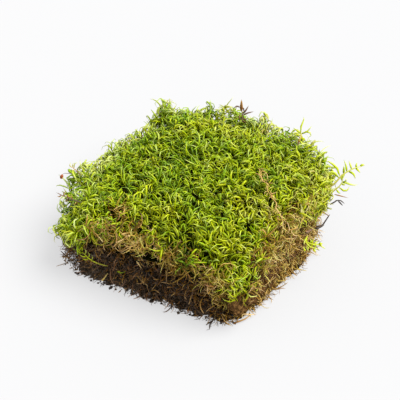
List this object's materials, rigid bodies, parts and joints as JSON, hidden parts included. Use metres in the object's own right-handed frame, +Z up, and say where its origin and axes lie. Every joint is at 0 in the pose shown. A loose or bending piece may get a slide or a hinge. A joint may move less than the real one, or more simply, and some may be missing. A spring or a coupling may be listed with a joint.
{
  "type": "moss clump",
  "caption": "Square slab of living moss with curved yellow-green leaves, on its dead brown shoots and dark humus, cut flat below to rest on a surface.",
  "frame": {"origin": "middle of the clump's overall box, on the surface that it rests on", "axes": "+Z up; +Y from the front face to the back; +X from the left face to the right, the longer way"},
  "size_m": [0.1333, 0.12, 0.0541],
  "materials": {
    "humus": "matte, crumbly",
    "dead_moss": "matte, fibrous",
    "living_moss": "soft satin leaves",
    "dead_shoot": "matte, dry",
    "stalk": "satin",
    "spore_case": "satin",
    "bark": "matte",
    "straw": "satin",
    "root": "matte"
  },
  "bodies": {
    "root": {"humus_mat": "humus", "dead_moss_layer": "dead_moss", "green_moss_cushion": "living_moss", "right_sprig": "living_moss", "right_sprig_lower": "living_moss", "side_sprig": "living_moss", "rear_green_sprig": "living_moss", "rear_dead_sprig": "dead_shoot", "fallen_shoot": "dead_moss", "left_dead_shoot": "dead_shoot", "seta": "stalk", "capsule": "spore_case", "claw_twig": "bark", "bark_stick": "bark", "straw_needle": "straw", "root_strand": "root"}
  },
  "joints": []
}
